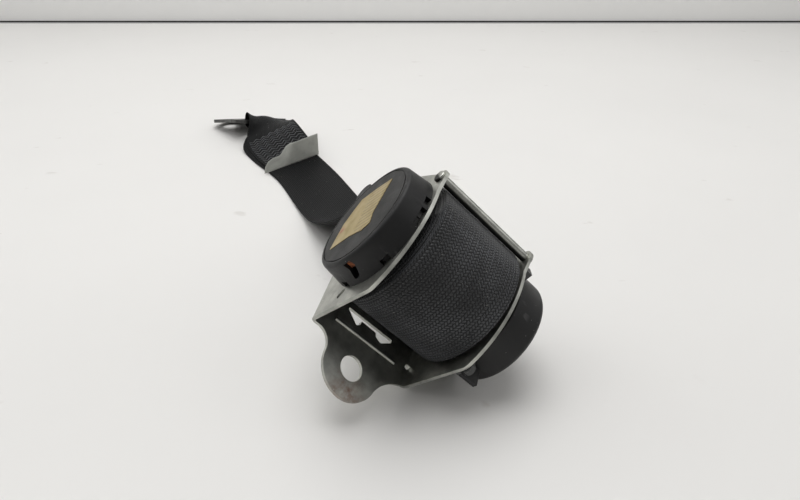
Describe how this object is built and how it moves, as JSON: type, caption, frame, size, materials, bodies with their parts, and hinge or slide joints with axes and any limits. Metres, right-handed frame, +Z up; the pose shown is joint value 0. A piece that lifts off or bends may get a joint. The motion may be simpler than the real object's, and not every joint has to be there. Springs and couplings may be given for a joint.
{
  "type": "seat belt reel with webbing",
  "caption": "Locking seat belt reel in a folded steel bracket, with round spring and lock covers, free woven webbing and a steel end anchor plate.",
  "frame": {"origin": "centre of the bounding box, at the height of the table the removed belt lies on", "axes": "+Y from the reel towards the end anchor plate, +Z up from the table, +X to the right seen from the reel's end"},
  "size_m": [0.2464, 0.4094, 0.0986],
  "materials": {
    "zinc_steel": "greenish grey zinc plate, satin",
    "bright_steel": "bright turned steel",
    "dark_steel": "black coated steel, satin",
    "spring_steel": "oiled spring strip, a little brown",
    "cast_zinc": "die cast, dull",
    "black_plastic": "moulded, fine matt",
    "grey_plastic": "moulded, dull",
    "white_plastic": "moulded acetal, dull",
    "webbing": "woven polyester, blue-grey sheen",
    "label_film": "stick-on film, bare",
    "label_cloth": "thin woven label, bare"
  },
  "bodies": {
    "reel_frame": {"bracket": "zinc_steel", "tie_bar": "bright_steel", "left_bush": "white_plastic", "cassette_plate": "black_plastic", "spring_cover": "black_plastic", "spiral_spring": "spring_steel", "cassette_pins": "black_plastic", "cover_label": "label_film", "lock_housing": "grey_plastic", "housing_pins": "black_plastic", "lock_cover": "black_plastic", "right_bush": "white_plastic", "sensor_housing": "grey_plastic", "lever_pin": "bright_steel", "webbing_strap": "webbing", "fabric_label": "label_cloth"},
    "spool_group": {"webbing_pack": "webbing", "spool": "cast_zinc", "spool_shaft": "bright_steel", "webbing_pin": "bright_steel", "locking_base": "cast_zinc", "spring_arbor": "white_plastic", "gear_spring": "spring_steel"},
    "pawl": {"lock_pawl": "bright_steel"},
    "gear": {"lock_gear": "white_plastic"},
    "inertia_disc": {"flywheel": "bright_steel"},
    "ball": {"sensor_ball": "bright_steel"},
    "lever": {"sensor_lever": "white_plastic"},
    "anchor_plate": {"end_anchor": "dark_steel"}
  },
  "joints": [
    {"name": "spool_spin", "type": "hinge", "parent": "reel_frame", "child": "spool_group", "pos_m": [0.07252, -0.16445, 0.05208], "axis": [0.7071, 0, -0.7071], "continuous": true},
    {"name": "lock_gear_lag", "type": "hinge", "parent": "spool_group", "child": "gear", "pos_m": [0.09374, -0.16445, 0.03086], "axis": [0.7071, 0, -0.7071], "range_deg": [0, 15], "stiffness_Nm_per_rad": 0.004},
    {"name": "pawl_slide", "type": "slide", "parent": "spool_group", "child": "pawl", "axis": [-0.6533, 0.3827, -0.6533], "range_m": [0, 0.0022]},
    {"name": "flywheel_lag", "type": "hinge", "parent": "gear", "child": "inertia_disc", "pos_m": [0.09741, -0.16445, 0.02719], "axis": [0.7071, 0, -0.7071], "range_deg": [0, 20]},
    {"name": "sensor_ball_roll", "type": "slide", "parent": "reel_frame", "child": "ball", "axis": [-0.5213, 0.6756, -0.5213], "range_m": [0, 0.0015]},
    {"name": "sensor_lever_lift", "type": "hinge", "parent": "reel_frame", "child": "lever", "pos_m": [0.08997, -0.17665, 0.01493], "axis": [-0.7071, 0, 0.7071], "range_deg": [0, 8]},
    {"name": "end_anchor_swing", "type": "hinge", "parent": "reel_frame", "child": "anchor_plate", "pos_m": [-0.06848, 0.16905, 0.01228], "axis": [0.4851, 0.8403, -0.2419], "range_deg": [-25, 110]}
  ],
  "couplings": [
    {"joint": "pawl_slide", "follows": "lock_gear_lag", "m_per_rad": 0.008403},
    {"joint": "sensor_lever_lift", "follows": "sensor_ball_roll", "rad_per_m": 93}
  ]
}
